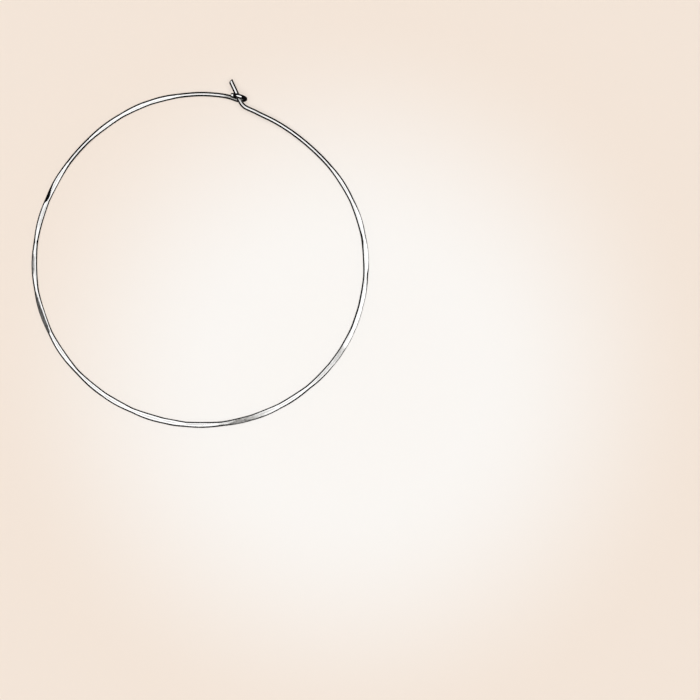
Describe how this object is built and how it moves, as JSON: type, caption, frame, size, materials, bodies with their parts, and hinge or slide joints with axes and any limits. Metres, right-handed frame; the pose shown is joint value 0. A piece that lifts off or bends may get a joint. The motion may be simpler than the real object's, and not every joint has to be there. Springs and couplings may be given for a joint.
{
  "type": "hoop earring",
  "caption": "Large thin hoop of hammered round wire, closed by a hooked end that passes through an eye curled in the other end.",
  "frame": {"origin": "middle of the part's outline seen from above, on the surface that it lies on", "axes": "+Z is the hoop's own axis, upwards as it lies on its side; +Y points from the hammered arc to the clasp, where the post sticks out; +X is to the right, on the hook's side"},
  "size_m": [0.0606, 0.0626, 0.0029],
  "materials": {
    "silver_wire": "polished silver, hammered flat round the hoop and left round at the clasp"
  },
  "bodies": {
    "root": {"hoop_wire": "silver_wire"}
  },
  "joints": []
}
